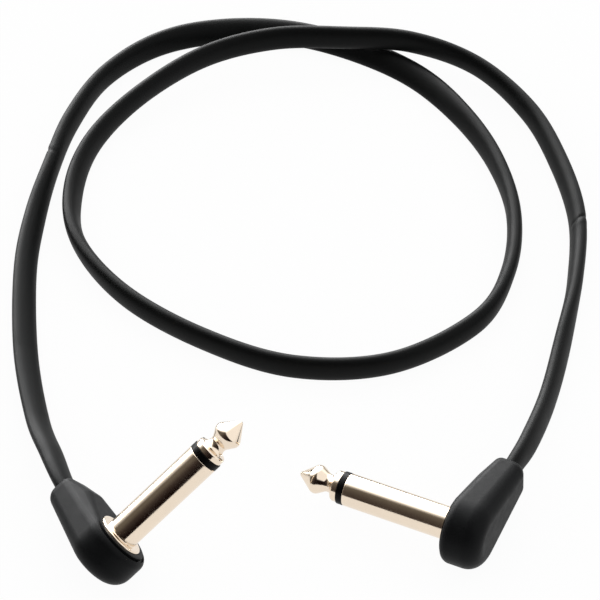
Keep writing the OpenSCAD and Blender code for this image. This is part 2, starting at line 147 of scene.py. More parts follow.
class ContactLook(bpy.types.PropertyGroup):
    barrel_d: length("Barrel", "Diameter of the barrel and of its ring", 6.35)
    shaft_l: length("Shaft", "Distance from the housing's front to the point", 31.3)
    bore_d: length("Bore", "Diameter of the barrel's bore", 4.2)
    flange_d: length("Flange", "Diameter of the flange", 9.3)
    flange_t: length("Flange thickness", "Thickness of the flange", 1.2)
    flange_proud: length("Flange height", "How far the flange stands out", 0.3)
    shank_d: length("Shank", "Diameter of the shank behind the flange", 5.8)
    tip_l: length("Tip", "Length of the tip from the ring", 8.7)
    collar_d: length("Collar", "Diameter of the collar", 6)
    collar_l: length("Collar length", "Length of the collar", 1.1)
    neck_d: length("Neck", "Diameter of the neck", 3.4)
    neck_l: length("Neck place", "Distance from the ring to the neck", 2.5)
    groove_r: length("Groove", "Radius of the groove round the neck", 1.2)
    flare: angle("Flare", "Slope of the head's rear cone from the axis", 31)
    head_d: length("Head", "Largest diameter of the head", 5.6)
    shoulder_r: length("Head shoulder", "Radius of the head's shoulder", 1.3)
    point_r: length("Point", "Radius of the rounded point", 0.6)
    rod_d: length("Rod", "Diameter of the tip's rod", 1.9)
    rivet_d: length("Rivet", "Diameter of the rod's riveted end", 2.9)
    rivet_t: length("Rivet thickness", "Thickness of the riveted end", 0.6)
    ring_t: length("Ring", "Thickness of the insulating ring", 1.3)
    spigot_l: length("Spigot", "Length of the ring's spigot", 1.5)
    washer_t: length("Washer", "Thickness of the washer between the lugs", 0.8)
    lug_t: length("Lugs", "Thickness of the lugs' sheet", 0.4)
    core_d: length("Core", "Diameter of the cord's stranded core", 0.9)
    nickel: colour("Nickel", "Colour of the nickel plate", "#ecdcc8")
    nylon: colour("Nylon", "Colour of the insulating ring", "#050404")


class StudioLook(bpy.types.PropertyGroup):
    floor: colour("Floor", "Colour of the table", "#f7f7f7")
    level: FloatProperty(name="Level", default=0.88, min=0.0, max=2.0,
                         description="Brightness of the sky light on dull surfaces")
    bright: FloatProperty(name="Bright side", default=2.8, min=0.0, max=10.0,
                          description="Brightness of the white side that metal mirrors")
    window: FloatProperty(name="Window", default=12.0, min=0.0, max=20.0,
                          description="Brightness of the window that the plastics mirror")
    softbox: FloatProperty(name="Softbox", default=0.6, min=0.0, max=100.0,
                           description="Power of the large lamp above the back, in watts")
    focal: FloatProperty(name="Focal length", default=177.96, min=20.0, max=500.0,
                         description="Focal length of the camera, in millimetres")


# Black PVC and nylon mirror the white studio only faintly
FAINT_SHEEN = {"IOR": 1.53, "Specular IOR Level": 0.07}
# Roughness of the satin PVC, from and to
SATIN = (0.42, 0.52)
# The part of a noise in which nearly all of it lies
NOISE_SPAN = (0.3, 0.7)


# ------------------------------------------------------------------ small helpers

def add_node(tree, kind, inputs=(), **settings):
    """Adds a node, applies its settings, and sets or links its inputs."""
    node = tree.nodes.new(kind)
    for key, value in settings.items():
        setattr(node, key, value)
    for key, value in dict(inputs).items():
        if isinstance(value, bpy.types.NodeSocket):
            tree.links.new(value, node.inputs[key])
        else:
            node.inputs[key].default_value = value
    return node


def blank_material(name):
    material = bpy.data.materials.new(name)
    material.use_nodes = True
    material.node_tree.nodes.clear()
    return material, material.node_tree


def finish_material(tree, surface):
    add_node(tree, "ShaderNodeOutputMaterial", {"Surface": surface.outputs[0]})


def principled(material, tree, inputs):
    """Closes a material with a principled surface."""
    finish_material(tree, add_node(tree, "ShaderNodeBsdfPrincipled", inputs))
    return material


def noise(tree, spot, spacing, detail, roughness=0.5):
    """Noise whose features are this many millimetres apart."""
    return add_node(tree, "ShaderNodeTexNoise",
                    {"Vector": spot, "Scale": per_mm(spacing), "Detail": detail,
                     "Roughness": roughness}).outputs["Fac"]


def mixed(tree, share, first, second):
    """Colour between two others."""
    return add_node(tree, "ShaderNodeMix", {0: share, 6: first, 7: second},
                    data_type="RGBA").outputs[2]


def ranged(tree, value, ends, span=(0.0, 1.0)):
    """Number that runs from one end to the other while the value crosses the span."""
    return add_node(tree, "ShaderNodeMapRange",
                    {"Value": value, "From Min": span[0], "From Max": span[1],
                     "To Min": ends[0], "To Max": ends[1]}).outputs[0]


def bump(tree, height, strength, depth, under=None):
    """Relief this many millimetres deep, on top of another one if there is one."""
    inputs = {"Height": height, "Strength": strength, "Distance": depth * MM}
    if under is not None:
        inputs["Normal"] = under
    return add_node(tree, "ShaderNodeBump", inputs).outputs[0]


def joined(tree, operation, first, second=0.0):
    """Result of a sum on one or two numbers."""
    return add_node(tree, "ShaderNodeMath", {0: first, 1: second},
                    operation=operation).outputs[0]


def shade(rgb, factor):
    """A colour made lighter or darker, with its alpha."""
    return [c * factor for c in rgb] + [1.0]


def per_mm(size):
    """Scale of a texture whose features are this many millimetres apart."""
    return 1 / (size * MM)


def arc(centre, radius, start, stop, steps=8):
    """Points of an arc about a centre, from one angle to another, in degrees."""
    angles = np.radians(np.linspace(start, stop, steps + 1))
    return [(centre[0] + radius * math.cos(a), centre[1] + radius * math.sin(a))
            for a in angles]


def smoothed(mesh, sharp_angle=32):
    mesh.shade_smooth()
    mesh.set_sharp_from_angle(angle=math.radians(sharp_angle))


def object_of(name, mesh):
    obj = bpy.data.objects.new(name, mesh)
    bpy.context.scene.collection.objects.link(obj)
    return obj


def applied(obj):
    """Turns an object's modifiers into its plain mesh."""
    depsgraph = bpy.context.evaluated_depsgraph_get()
    mesh = bpy.data.meshes.new_from_object(obj.evaluated_get(depsgraph),
                                           preserve_all_data_layers=True,
                                           depsgraph=depsgraph)
    obj.modifiers.clear()
    obj.data = mesh
    mesh.name = obj.name
    return obj


def heights(scene):
    """Heights along a barrel's axis, from the housing's front face, by name."""
    h, c = scene.cable_housing, scene.cable_contacts
    cord = h.cord_rise - h.deep
    tip_lug = cord + c.core_d / 2
    washer = tip_lug + c.lug_t
    ground_lug = washer + c.washer_t
    flange = c.flange_proud - c.flange_t
    return {"cord": cord, "tip_lug": tip_lug, "rivet": tip_lug - c.rivet_t,
            "shank": ground_lug + c.lug_t, "flange": flange, "tip": c.shaft_l - c.tip_l,
            "ring": c.shaft_l - c.tip_l - c.ring_t,
            "block_back": h.back_wall - h.deep, "block_front": flange - h.front_wall}


def plug_frame(scene, side):
    """Matrix that takes a plug drawn upright to its place on the table."""
    p, h = scene.cable_plugs, scene.cable_housing
    x, y, roll, turn = (getattr(p, f"{side}_{name}") for name in ("x", "y", "roll", "turn"))
    rest = max((h.round_d / 2 - r) * abs(math.sin(roll)) + rise * math.cos(roll) + r
               for r, rise in ((h.front_r, h.front_r), (h.back_r, h.deep - h.back_r)))
    return (Matrix.Translation((x, y, rest)) @ Matrix.Rotation(turn, 4, "Z")
            @ Matrix.Rotation(roll, 4, "Y"))


# ------------------------------------------------------------------ cord

def lying_height(look, lean):
    """Height of the middle of a cord that lies on the table with this lean."""
    power = look.squareness / (look.squareness - 1)
    return (abs(look.width / 2 * math.sin(lean)) ** power
            + abs(look.thickness / 2 * math.cos(lean)) ** power) ** (1 / power)


def cord_path(scene):
    """Middle line of the cord and the direction of its wide side, at even steps."""
    look, plugs = scene.cable_cord, scene.cable_plugs
    z = heights(scene)["cord"]
    points, ways = [], []
    for side, lean in (("left", plugs.left_roll), ("right", -plugs.right_roll)):
        matrix = plug_frame(scene, side)
        mouth = matrix @ Vector((0, scene.cable_housing.long, z))
        ways.append(matrix.to_3x3() @ Vector((0, 1, 0)))
        points.append((mouth.x, mouth.y, mouth.z - lying_height(look, lean),
                       math.degrees(lean)))
    route = np.array([points[0], *ROUTE, points[1]])

    def lead(end, following, way):
        reach = 2 * np.linalg.norm(following[:2] - end[:2])
        return np.array([following[0] - reach * way.x, following[1] - reach * way.y,
                         following[2], following[3]])

    guided = np.vstack([lead(route[0], route[1], ways[0]), route,
                        lead(route[-1], route[-2], ways[1])])
    spans, fine = len(route) - 1, 60
    t = np.linspace(0, 1, fine, endpoint=False)[:, None]
    run = []
    for i in range(1, spans + 1):
        a, b, c, d = guided[i - 1:i + 3]
        run.append((2 * b + (c - a) * t + (2 * a - 5 * b + 4 * c - d) * t ** 2
                    + (3 * b - a - 3 * c + d) * t ** 3) / 2)
    run = np.vstack([*run, route[-1:]])
    lean = np.radians(run[:, 3])
    rise = np.array([lying_height(look, a) for a in lean])
    middle = np.column_stack([run[:, :2], np.maximum(run[:, 2], 0) + rise])
    # each end runs straight on into its housing
    for end, way in ((0, ways[0]), (-1, ways[1])):
        inner = middle[end] - np.array(way) * look.tuck
        middle = np.vstack([inner, middle] if end == 0 else [middle, inner])
    lean = np.concatenate([lean[:1], lean, lean[-1:]])
    along = np.concatenate([[0], np.cumsum(np.linalg.norm(np.diff(middle, axis=0), axis=1))])
    stops = np.linspace(0, along[-1], int(along[-1] / look.step) + 1)
    for crease in CREASES:
        at = along[np.argmin(np.linalg.norm(middle[:, :2] - crease["at"], axis=1))]
        stops = np.concatenate([stops, np.arange(at - 0.003, at + 0.003, 0.00012)])
    stops = np.unique(np.round(stops, 6))
    middle = np.column_stack([np.interp(stops, along, middle[:, k]) for k in range(3)])
    lean = np.interp(stops, along, lean)
    ahead = np.gradient(middle, stops, axis=0)
    ahead /= np.linalg.norm(ahead, axis=1)[:, None]
    side = np.cross([0, 0, 1], ahead)
    side /= np.linalg.norm(side, axis=1)[:, None]
    up = np.cross(ahead, side)
    wide = np.cos(lean)[:, None] * side + np.sin(lean)[:, None] * up
    return middle, wide, stops


# Small creases of the jacket: where, towards which side, how deep, how long and how
# much the fold slants across the cord
CREASES = [
    {"at": (-0.0495, 0.1035), "towards": (-0.85, 0.1, 0.5), "deep": 0.0002, "half": 0.0008,
     "slant": -0.5},
    {"at": (0.0592, 0.0825), "towards": (0.1, 0.0, 1.0), "deep": 0.0002, "half": 0.0008,
     "slant": 0.55},
]


def cord_tree():
    """Node tree that sweeps an oval section along a chain of points."""
    tree = bpy.data.node_groups.new("Oval cord along a path", "GeometryNodeTree")
    ports = tree.interface
    ports.new_socket("Path", in_out="INPUT", socket_type="NodeSocketGeometry")
    for name in ("Width", "Thickness", "Squareness"):
        ports.new_socket(name, in_out="INPUT", socket_type="NodeSocketFloat")
    ports.new_socket("Facets", in_out="INPUT", socket_type="NodeSocketInt")
    ports.new_socket("Jacket", in_out="INPUT", socket_type="NodeSocketMaterial")
    ports.new_socket("Cord", in_out="OUTPUT", socket_type="NodeSocketGeometry")
    given = add_node(tree, "NodeGroupInput").outputs

    ring = add_node(tree, "GeometryNodeCurvePrimitiveCircle",
                    {"Resolution": given["Facets"], "Radius": 1.0})
    spot = add_node(tree, "ShaderNodeSeparateXYZ",
                    {0: add_node(tree, "GeometryNodeInputPosition").outputs[0]})
    power = joined(tree, "DIVIDE", 2.0, given["Squareness"])
    sides = []
    for axis, size in (("X", "Width"), ("Y", "Thickness")):
        bare = spot.outputs[axis]
        full = joined(tree, "POWER", joined(tree, "ABSOLUTE", bare), power)
        half = joined(tree, "MULTIPLY", given[size], 0.5)
        reach = joined(tree, "MULTIPLY", full, half)
        sides.append(joined(tree, "MULTIPLY", reach, joined(tree, "SIGN", bare)))
    place = add_node(tree, "ShaderNodeCombineXYZ", {0: sides[0], 1: sides[1]})
    section = add_node(tree, "GeometryNodeSetPosition",
                       {"Geometry": ring.outputs["Curve"], "Position": place.outputs[0]})
    keep = add_node(tree, "GeometryNodeCaptureAttribute",
                    {"Geometry": section.outputs[0]})
    keep.capture_items.new("VECTOR", "Section")
    tree.links.new(add_node(tree, "GeometryNodeInputPosition").outputs[0],
                   keep.inputs["Section"])

    line = add_node(tree, "GeometryNodeMeshToCurve", {"Mesh": given["Path"]})
    wide = add_node(tree, "GeometryNodeInputNamedAttribute", {"Name": "wide"},
                    data_type="FLOAT_VECTOR")
    turned = add_node(tree, "GeometryNodeSetCurveNormal",
                      {"Curve": line.outputs[0], "Normal": wide.outputs["Attribute"]},
                      mode="FREE")
    unit = add_node(tree, "GeometryNodeSetCurveRadius",
                    {"Curve": turned.outputs[0], "Radius": 1.0})
    mark = add_node(tree, "GeometryNodeCaptureAttribute", {"Geometry": unit.outputs[0]})
    mark.capture_items.new("FLOAT", "Along")
    tree.links.new(add_node(tree, "GeometryNodeSplineParameter").outputs["Length"],
                   mark.inputs["Along"])

    swept = add_node(tree, "GeometryNodeCurveToMesh",
                     {"Curve": mark.outputs[0], "Profile Curve": keep.outputs[0],
                      "Fill Caps": True})
    across = add_node(tree, "ShaderNodeSeparateXYZ", {0: keep.outputs["Section"]})
    straight = add_node(tree, "ShaderNodeCombineXYZ",
                        {0: across.outputs[0], 1: across.outputs[1],
                         2: mark.outputs["Along"]})
    stored = add_node(tree, "GeometryNodeStoreNamedAttribute",
                      {"Geometry": swept.outputs[0], "Name": "straight",
                       "Value": straight.outputs[0]},
                      data_type="FLOAT_VECTOR", domain="POINT")
    real = add_node(tree, "GeometryNodeRealizeInstances", {"Geometry": stored.outputs[0]})
    dressed = add_node(tree, "GeometryNodeSetMaterial",
                       {"Geometry": real.outputs[0], "Material": given["Jacket"]})
    add_node(tree, "NodeGroupOutput", {"Cord": dressed.outputs[0]})
    return tree


def swept_cord(name, look, middle, wide, material):
    """Mesh tube of the cord's section along points that know their wide direction."""
    mesh = bpy.data.meshes.new(name)
    mesh.from_pydata([tuple(p) for p in middle],
                     [(i, i + 1) for i in range(len(middle) - 1)], [])
    mesh.attributes.new("wide", "FLOAT_VECTOR", "POINT").data.foreach_set(
        "vector", np.asarray(wide, np.float32).ravel())
    obj = object_of(name, mesh)
    tree = bpy.data.node_groups.get("Oval cord along a path") or cord_tree()
    modifier = obj.modifiers.new("Sweep", "NODES")
    modifier.node_group = tree
    values = {"Width": look.width, "Thickness": look.thickness,
              "Squareness": look.squareness, "Facets": look.facets, "Jacket": material}
    for item in tree.interface.items_tree:
        if item.in_out == "INPUT" and item.name in values:
            modifier[item.identifier] = values[item.name]
    applied(obj)
    obj.data.materials.clear()
    obj.data.materials.append(material)
    return obj


def crease(mesh, middle, stops, fold):
    """Presses a small slanting fold into one side of the jacket."""
    count = len(mesh.vertices)
    spots = np.empty(count * 3)
    mesh.vertices.foreach_get("co", spots)
    spots = spots.reshape(-1, 3)
    at = stops[np.argmin(np.linalg.norm(middle[:, :2] - fold["at"], axis=1))]
    near = np.flatnonzero(np.abs(stops - at) < 0.006)
    towards = np.array(fold["towards"]) / np.linalg.norm(fold["towards"])
    close = np.flatnonzero(
        np.linalg.norm(spots - middle[near[len(near) // 2]], axis=1) < 0.007)
    for i in close:
        row = near[np.argmin(np.linalg.norm(middle[near] - spots[i], axis=1))]
        out = spots[i] - middle[row]
        reach = np.linalg.norm(out)
        facing = max(0.0, float(out @ towards) / reach)
        ahead = middle[min(row + 1, len(middle) - 1)] - middle[row - 1]
        ahead /= np.linalg.norm(ahead)
        sideways = float(np.cross(towards, ahead) @ out)
        offset = (stops[row] - at + fold["slant"] * sideways) / fold["half"]
        dent = max(0.0, 1 - abs(offset)) ** 1.4
        swell = 0.35 * math.exp(-((offset - 1.7) / 0.8) ** 2)
        spots[i] += out / reach * fold["deep"] * facing ** 1.2 * (swell - dent)
    mesh.vertices.foreach_set("co", spots.ravel())
    mesh.update()


def jacket_material(look):
    """Extruded PVC jacket: satin, near black, with faint lines along the cord."""
    material, tree = blank_material("Extruded black PVC jacket")
    spot = add_node(tree, "ShaderNodeAttribute", attribute_name="straight").outputs["Vector"]
    # die lines 0.4 mm apart across and drawn out to 12 mm along the cord
    drawn = add_node(tree, "ShaderNodeMapping",
                     {"Vector": spot, "Scale": (per_mm(0.4), per_mm(0.4), per_mm(12))})
    lines = add_node(tree, "ShaderNodeTexNoise",
                     {"Vector": drawn.outputs[0], "Scale": 1.0, "Detail": 3.0})
    # handling marks a few millimetres long
    marks = noise(tree, spot, 5, 4.0, 0.6)
    # matt skin of the PVC, 0.25 mm grain, coarser than the real one so that it shows
    skin = noise(tree, spot, 0.25, 2.0)
    fine = bump(tree, skin, 0.08, 0.02)
    return principled(material, tree, {
        "Base Color": mixed(tree, marks, shade(look.jacket, 0.8), shade(look.jacket, 1.25)),
        "Roughness": ranged(tree, marks, SATIN, NOISE_SPAN),
        "Normal": bump(tree, lines.outputs["Fac"], 0.12, 0.03, fine), **FAINT_SHEEN})


# ------------------------------------------------------------------ housings

def disc_cloud(radius, low, high, edge_high, edge_low, at=(0, 0), turns=96):
    """Points of a disc with rounded edges, from one height to another."""
    section = (arc((radius - edge_low, low + edge_low), edge_low, -90, 0, 10)
               + arc((radius - edge_high, high - edge_high), edge_high, 0, 90, 10))
    return [(at[0] + r * math.cos(a), at[1] + r * math.sin(a), z)
            for r, z in section
            for a in np.linspace(0, 2 * math.pi, turns, endpoint=False)]


def hull_mesh(name, cloud):
    """Closed convex skin round a cloud of points."""
    bm = bmesh.new()
    for spot in cloud:
        bm.verts.new(spot)
    bmesh.ops.remove_doubles(bm, verts=bm.verts, dist=1e-7)
    made = bmesh.ops.convex_hull(bm, input=bm.verts, use_existing_faces=False)
    loose = {v for v in made["geom_interior"] + made["geom_unused"]
             if isinstance(v, bmesh.types.BMVert)}
    bmesh.ops.delete(bm, geom=list(loose), context="VERTS")
    bmesh.ops.dissolve_limit(bm, angle_limit=math.radians(0.05), verts=bm.verts,
                             edges=bm.edges)
    bmesh.ops.recalc_face_normals(bm, faces=bm.faces)
    mesh = bpy.data.meshes.new(name)
    bm.to_mesh(mesh)
    bm.free()
    return mesh


def lathe_mesh(name, profile, turns=96, looped=False):
    """Turns a profile of (radius, height) points about the height's axis.

    A point on the axis becomes a pole, and a looped profile closes on itself.
    """
    bm = bmesh.new()
    layer = bm.loops.layers.uv.new("UVMap")
    rings = []
    for radius, height in profile:
        if radius < 1e-9:
            rings.append([bm.verts.new((0, 0, height))])
        else:
            rings.append([bm.verts.new((radius * math.cos(a), radius * math.sin(a), height))
                          for a in np.linspace(0, 2 * math.pi, turns, endpoint=False)])
    steps = np.linalg.norm(np.diff(np.array([*profile, profile[0]]), axis=0), axis=1)
    reach = np.concatenate([[0], np.cumsum(steps)])
    for i in range(len(rings) if looped else len(rings) - 1):
        here, there = rings[i], rings[(i + 1) % len(rings)]
        for k in range(turns):
            after = (k + 1) % turns
            corners = [(here, k, 0), (here, after, 0), (there, after, 1), (there, k, 1)]
            spread = [(ring[0] if len(ring) == 1 else ring[j], j, row)
                      for ring, j, row in corners]
            kept = [c for n, c in enumerate(spread)
                    if c[0] not in [other[0] for other in spread[:n]]]
            face = bm.faces.new([c[0] for c in kept])
            for loop, (_, j, row) in zip(face.loops, kept):
                turn = 1.0 if k == turns - 1 and j == 0 else j / turns
                loop[layer].uv = (turn, reach[i + row])
    bmesh.ops.recalc_face_normals(bm, faces=bm.faces)
    mesh = bpy.data.meshes.new(name)
    bm.to_mesh(mesh)
    bm.free()
    return mesh


def held(profile, gap=0.12 * MM, looped=False):
    """Adds a point near both ends of each long straight run, which keeps it flat."""
    points = [*profile, profile[0]] if looped else list(profile)
    result = []
    for (r0, z0), (r1, z1) in zip(points, points[1:]):
        result.append((r0, z0))
        run = math.hypot(r1 - r0, z1 - z0)
        if run > 3 * gap:
            for share in (gap / run, 1 - gap / run):
                result.append((r0 + (r1 - r0) * share, z0 + (z1 - z0) * share))
    return result if looped else result + [points[-1]]


def oval_prism(name, width, thickness, squareness, start, stop, z, facets=64):
    """Straight length of the cord's section along a plug's cord direction."""
    angles = np.linspace(0, 2 * math.pi, facets, endpoint=False)
    power = 2 / squareness
    ring = [(width / 2 * math.copysign(abs(math.cos(a)) ** power, math.cos(a)),
             thickness / 2 * math.copysign(abs(math.sin(a)) ** power, math.sin(a)))
            for a in angles]
    bm = bmesh.new()
    ends = [[bm.verts.new((x, y, z + t)) for x, t in ring] for y in (start, stop)]
    for k in range(facets):
        after = (k + 1) % facets
        bm.faces.new([ends[0][k], ends[0][after], ends[1][after], ends[1][k]])
    bm.faces.new(ends[0])
    bm.faces.new(ends[1])
    bmesh.ops.recalc_face_normals(bm, faces=bm.faces)
    mesh = bpy.data.meshes.new(name)
    bm.to_mesh(mesh)
    bm.free()
    return mesh


def block_cloud(scene, grow):
    h, z = scene.cable_housing, heights(scene)
    low, high, edge = z["block_back"] - grow, z["block_front"] + grow, h.block_r + grow
    corner = h.block_r + 0.6 * MM
    cloud = disc_cloud(h.block_d / 2 + grow, low, high, edge, edge)
    for way in (-1, 1):
        cloud += disc_cloud(corner + grow, low, high, edge, edge,
                            (way * (h.block_w / 2 - corner), h.block_l - corner))
    return cloud


def housing_mesh(scene, name):
    """One housing, upright: its hull, less the groove, the seats and the mouth."""
    h, c, cord = scene.cable_housing, scene.cable_contacts, scene.cable_cord
    fit, z, past = scene.cable_plugs.fit, heights(scene), 1 * MM
    cloud = disc_cloud(h.round_d / 2, -h.deep, 0, h.front_r, h.back_r)
    for way in (-1, 1):
        shoulder = (way * (h.shoulder_w / 2 - h.slope_r), h.shoulder_l)
        cloud += disc_cloud(h.slope_r, -2 * h.slope_r, 0, h.slope_r, h.slope_r, shoulder)
        mouth = (way * (h.mouth_w / 2 - h.corner_r), h.long - h.corner_r)
        cloud += disc_cloud(h.corner_r, -h.deep, h.mouth_t - h.deep, h.mouth_r,
                            h.corner_r, mouth)
    body = object_of(name, hull_mesh(name, cloud))

    inner, outer = h.seat_d / 2, h.seat_d / 2 + h.groove_w
    groove = lathe_mesh("groove", [(inner, 0), (outer, 0), (outer, h.groove_h + past),
                                   (inner, h.groove_h + past)], looped=True)
    lean = math.atan(h.groove_h / (inner + h.groove_end))
    groove.transform(Matrix.Translation((0, h.groove_end, 0)) @ Matrix.Rotation(lean, 4, "X")
                     @ Matrix.Translation((0, -h.groove_end, 0)))
    seat_d = c.flange_d / 2 + fit
    shank_d = c.shank_d / 2 + fit
    cuts = [
        groove,
        lathe_mesh("flange seat", [(0, z["flange"]), (seat_d, z["flange"]), (seat_d, past),
                                   (0, past)]),
        lathe_mesh("shank bore", [(0, z["block_front"] - fit),
                                  (shank_d, z["block_front"] - fit), (shank_d, past),
                                  (0, past)]),
        hull_mesh("block room", block_cloud(scene, fit)),
        oval_prism("mouth", cord.width + 2 * fit, cord.thickness + 2 * fit, cord.squareness,
                   h.block_l, h.long + past, z["cord"]),
    ]
    for cut in cuts:
        tool = object_of(cut.name, cut)
        boolean = body.modifiers.new(cut.name, "BOOLEAN")
        boolean.operation, boolean.solver, boolean.object = "DIFFERENCE", "EXACT", tool
        applied(body)
        bpy.data.objects.remove(tool)
    mesh = body.data
    bpy.data.objects.remove(body)
    return mesh


def moulded_material(look):
    """Injection moulded PVC: matt black, a fine sparked grain and a little bloom."""
    material, tree = blank_material("Moulded black PVC")
    spot = add_node(tree, "ShaderNodeTexCoord").outputs["Object"]
    # sparked mould texture, 0.3 mm apart, coarser than the real one so that it shows
    grain = noise(tree, spot, 0.3, 3.0, 0.55)
    # slow unevenness of the moulding, 4 mm across
    swell = noise(tree, spot, 4, 2.0)
    # rubbed places, 2 mm across
    rubbed = noise(tree, spot, 2, 5.0, 0.65)
    soft = bump(tree, swell, 0.5, 0.05)
    return principled(material, tree, {
        "Base Color": mixed(tree, rubbed, shade(look.pvc, 0.75), shade(look.pvc, 1.3)),
        "Roughness": ranged(tree, rubbed, SATIN, NOISE_SPAN),
        "Normal": bump(tree, grain, 0.45, 0.03, soft), **FAINT_SHEEN})


# ------------------------------------------------------------------ contacts

def barrel_profile(c, z):
    """Barrel with its shank and flange, as a looped section."""
    radius, bore, edge = c.barrel_d / 2, c.bore_d / 2, c.flange_t / 4
    fillet, lip = 0.15 * MM, 0.12 * MM
    return ([(bore, z["shank"]), (c.shank_d / 2, z["shank"]), (c.shank_d / 2, z["flange"]),
             (c.flange_d / 2, z["flange"])]
            + arc((c.flange_d / 2 - edge, c.flange_proud - edge), edge, 0, 90, 8)
            + arc((radius + fillet, c.flange_proud + fillet), fillet, 270, 180, 5)
            + arc((radius - lip, z["ring"] - lip), lip, 0, 90, 5)
            + [(bore, z["ring"])])


def ring_profile(c, z, fit):
    """Insulating ring with its spigot in the barrel, as a looped section."""
    hole, spigot, lip = c.rod_d / 2 + fit, c.bore_d / 2 - fit, 0.08 * MM
    outer = c.barrel_d / 2
    return ([(hole, z["ring"] - c.spigot_l), (spigot, z["ring"] - c.spigot_l),
             (spigot, z["ring"])]
            + arc((outer - lip, z["ring"] + lip), lip, -90, 0, 4)
            + arc((outer - lip, z["tip"] - lip), lip, 0, 90, 4)
            + [(hole, z["tip"])])


def tip_profile(c, z):
    """Tip, neck, collar, rod and riveted end, from the rivet to the point."""
    lip = 0.1 * MM
    groove = (c.neck_d / 2 + c.groove_r, z["tip"] + c.neck_l)
    collar_a = math.degrees(math.acos(
        (groove[0] - c.collar_d / 2 + c.collar_l / 6) / c.groove_r))
    flare = (groove[0] - c.groove_r * math.cos(c.flare),
             groove[1] + c.groove_r * math.sin(c.flare))
    shoulder_x = c.head_d / 2 - c.shoulder_r
    shoulder_z = flare[1] + ((math.cos(c.flare) * (shoulder_x - flare[0]) + c.shoulder_r)
                             / math.sin(c.flare))
    point_z = c.shaft_l - c.point_r
    cone = math.hypot(shoulder_x, point_z - shoulder_z)
    slope = math.degrees(math.atan(shoulder_x / (point_z - shoulder_z))
                         + math.asin((c.shoulder_r - c.point_r) / cone))
    return ([(0, z["rivet"])]
            + arc((c.rivet_d / 2 - c.rivet_t / 2, z["rivet"] + c.rivet_t / 2),
                  c.rivet_t / 2, -90, 0, 6)
            + [(c.rivet_d / 2, z["tip_lug"]), (c.rod_d / 2, z["tip_lug"]),
               (c.rod_d / 2, z["tip"])]
            + arc((c.collar_d / 2 - lip, z["tip"] + lip), lip, -90, 0, 4)
            + arc((c.collar_d / 2 - lip, z["tip"] + c.collar_l - lip), lip, 0, 70, 4)
            + arc(groove, c.groove_r, 180 + collar_a, 180 - math.degrees(c.flare), 24)
            + arc((shoulder_x, shoulder_z), c.shoulder_r, -math.degrees(c.flare), slope, 12)
            + arc((0, point_z), c.point_r, slope, 90, 10)[:-1]
            + [(0, c.shaft_l)])


def nickel_material(look):
    """Nickel plate over turned brass: warm, bright, with faint lines round the axis."""
    material, tree = blank_material("Turned and nickel plated brass")
    places = add_node(tree, "ShaderNodeTexCoord").outputs
    height = add_node(tree, "ShaderNodeSeparateXYZ", {0: places["UV"]}).outputs["Y"]
    # turning marks 0.12 mm apart, coarser than the real feed so that they show
    turned = add_node(tree, "ShaderNodeTexNoise", {"W": height, "Scale": per_mm(0.12),
                                                   "Detail": 3.0}, noise_dimensions="1D")
    # fingerprints and haze, 3 mm across
    haze = noise(tree, places["Object"], 3, 4.0, 0.6)
    return principled(material, tree, {
        "Base Color": mixed(tree, haze, shade(look.nickel, 0.94), shade(look.nickel, 1.04)),
        "Metallic": 1.0, "Roughness": ranged(tree, haze, (0.1, 0.17), (0.35, 0.7)),
        "Normal": bump(tree, turned.outputs["Fac"], 0.12, 0.004)})


# What the pieces inside the plugs are made of: real material, lighter and darker
# colour, metallic, roughness from and to, and the spacing of its pattern in mm
INNER_FINISHES = {
    # dark filled polyethylene: dull and faintly mottled
    "Moulded grey polyethylene": ("#2b2d2f", "#36383a", 0.0, (0.5, 0.62), 0.6),
    # natural polyethylene: waxy and milky
    "Natural polyethylene": ("#dcd7ca", "#ece8de", 0.0, (0.35, 0.48), 0.8),
    # vulcanised fibre: brown, with a papery fleck
    "Vulcanised fibre": ("#8f6134", "#b98a4c", 0.0, (0.6, 0.75), 0.25),
    # tinned brass strip: pale yellow metal with dull tin
    "Tinned brass strip": ("#b9a873", "#d2c8a8", 1.0, (0.25, 0.4), 0.5),
    # soft solder: dull silver with a frosty skin
    "Soft solder": ("#a4a8ac", "#c3c6ca", 1.0, (0.28, 0.45), 0.3),
    # bare copper strands: warm metal, with painted shade between the strands as a darker
    # mottle
    "Bare copper strands": ("#8a4a2c", "#c9764a", 1.0, (0.25, 0.4), 0.2),
}
INNER_PIECES = {
    "inner_block": "Moulded grey polyethylene", "core_tube": "Natural polyethylene",
    "rear_washer": "Vulcanised fibre", "tip_lug": "Tinned brass strip",
    "ground_lug": "Tinned brass strip", "tip_solder": "Soft solder",
    "ground_solder": "Soft solder", "conductor": "Bare copper strands",
    "dielectric": "Natural polyethylene", "shield_pigtail": "Bare copper strands",
}


def inner_material(name):
    dark, light, metallic, finish, spacing = INNER_FINISHES[name]
    material, tree = blank_material(name)
    spot = add_node(tree, "ShaderNodeTexCoord").outputs["Object"]
    pattern = noise(tree, spot, spacing, 4.0)
    return principled(material, tree, {
        "Base Color": mixed(tree, pattern, linear(dark), linear(light)),
        "Metallic": metallic, "Roughness": ranged(tree, pattern, finish),
        "Normal": bump(tree, pattern, 0.3, 0.02)})


def nylon_material(look):
    """Moulded black nylon: a shade blacker and glossier than the housing."""
    material, tree = blank_material("Moulded black nylon")
    spot = add_node(tree, "ShaderNodeTexCoord").outputs["Object"]
    pattern = noise(tree, spot, 0.4, 3.0)
    return principled(material, tree, {
        "Base Color": mixed(tree, pattern, shade(look.nylon, 0.8), shade(look.nylon, 1.3)),
        "Roughness": ranged(tree, pattern, (0.3, 0.42)), **FAINT_SHEEN})


# ------------------------------------------------------------------ studio

